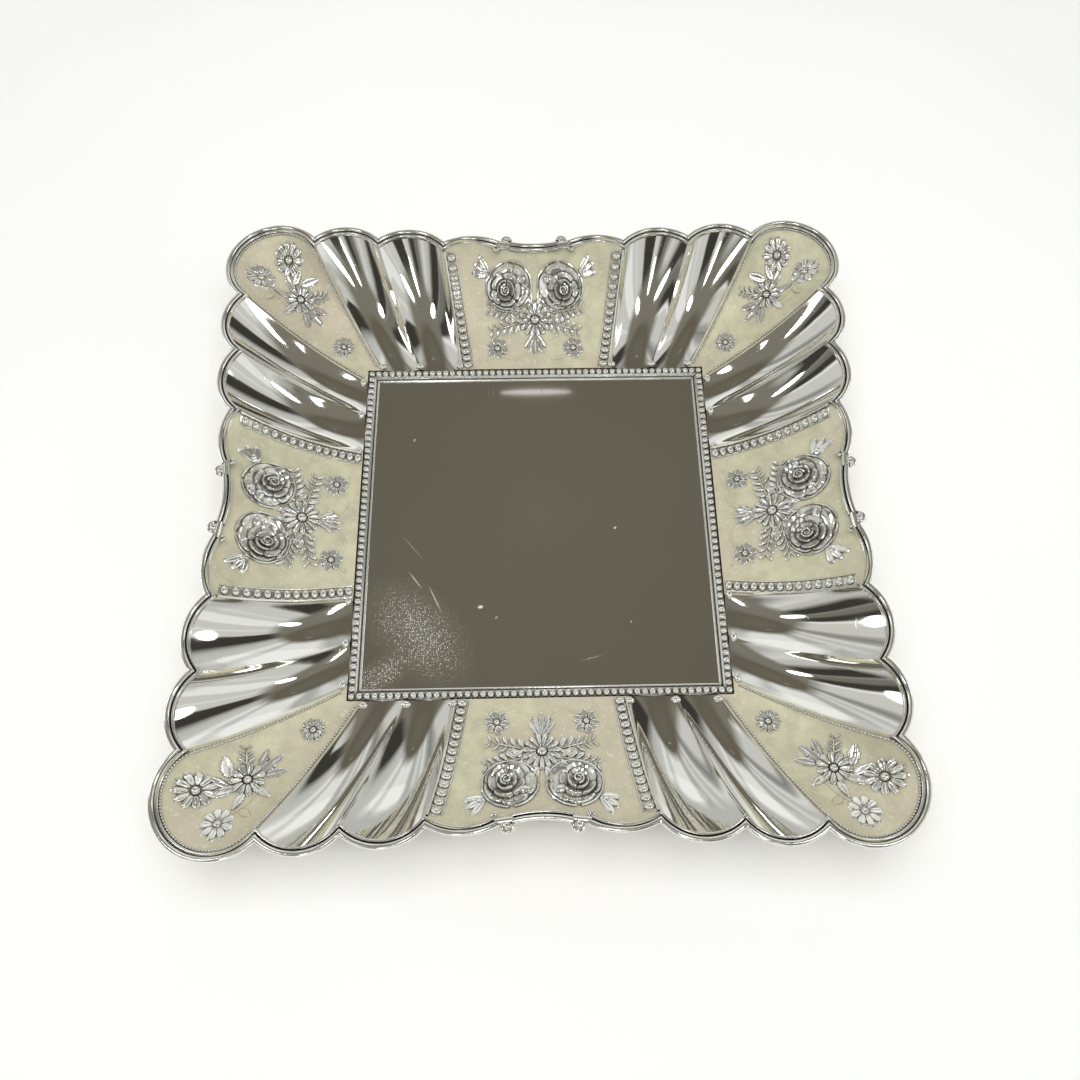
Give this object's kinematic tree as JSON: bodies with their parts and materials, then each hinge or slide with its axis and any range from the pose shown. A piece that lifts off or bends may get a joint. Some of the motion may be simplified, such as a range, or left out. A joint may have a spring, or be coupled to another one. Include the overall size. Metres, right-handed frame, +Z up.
{
  "type": "square serving salver",
  "caption": "Square silver salver with a flat mirror well, beaded edge, fluted and panelled raised border with floral relief, and a scalloped rim.",
  "frame": {"origin": "under the middle of the well, on the face it rests on", "axes": "+Z up out of the dish; X and Y along the sides of the well"},
  "size_m": [0.291, 0.291, 0.033],
  "materials": {
    "well_silver": "mirror-polished silver with fine scratches",
    "flute_silver": "mirror-polished silver",
    "rim_silver": "polished silver, darker in the creases",
    "bead_silver": "polished silver, darker in the creases",
    "relief_silver": "bright cast silver relief",
    "satin_panel": "matte champagne satin ground"
  },
  "bodies": {
    "root": {"corner_lobe_back_left": "satin_panel", "corner_lobe_back_right": "satin_panel", "corner_lobe_front_left": "satin_panel", "corner_lobe_front_right": "satin_panel", "flower_spray_back_left": "relief_silver", "flower_spray_back_right": "relief_silver", "flower_spray_front_left": "relief_silver", "flower_spray_front_right": "relief_silver", "flute_inner_back_l": "flute_silver", "flute_inner_back_r": "flute_silver", "flute_inner_front_l": "flute_silver", "flute_inner_front_r": "flute_silver", "flute_inner_left_l": "flute_silver", "flute_inner_left_r": "flute_silver", "flute_inner_right_l": "flute_silver", "flute_inner_right_r": "flute_silver", "flute_outer_back_l": "flute_silver", "flute_outer_back_r": "flute_silver", "flute_outer_front_l": "flute_silver", "flute_outer_front_r": "flute_silver", "flute_outer_left_l": "flute_silver", "flute_outer_left_r": "flute_silver", "flute_outer_right_l": "flute_silver", "flute_outer_right_r": "flute_silver", "lobe_wire_back_left": "bead_silver", "lobe_wire_back_right": "bead_silver", "lobe_wire_front_left": "bead_silver", "lobe_wire_front_right": "bead_silver", "panel_beading_back_l": "bead_silver", "panel_beading_back_r": "bead_silver", "panel_beading_front_l": "bead_silver", "panel_beading_front_r": "bead_silver", "panel_beading_left_l": "bead_silver", "panel_beading_left_r": "bead_silver", "panel_beading_right_l": "bead_silver", "panel_beading_right_r": "bead_silver", "ridge_pearls": "bead_silver", "rim_corner_back_left": "rim_silver", "rim_corner_back_right": "rim_silver", "rim_corner_front_left": "rim_silver", "rim_corner_front_right": "rim_silver", "rim_side_back": "rim_silver", "rim_side_front": "rim_silver", "rim_side_left": "rim_silver", "rim_side_right": "rim_silver", "rose_spray_back": "relief_silver", "rose_spray_front": "relief_silver", "rose_spray_left": "relief_silver", "rose_spray_right": "relief_silver", "side_panel_back": "satin_panel", "side_panel_front": "satin_panel", "side_panel_left": "satin_panel", "side_panel_right": "satin_panel", "well_beading_back": "bead_silver", "well_beading_front": "bead_silver", "well_beading_left": "bead_silver", "well_beading_right": "bead_silver", "well_plate": "well_silver"}
  },
  "joints": []
}
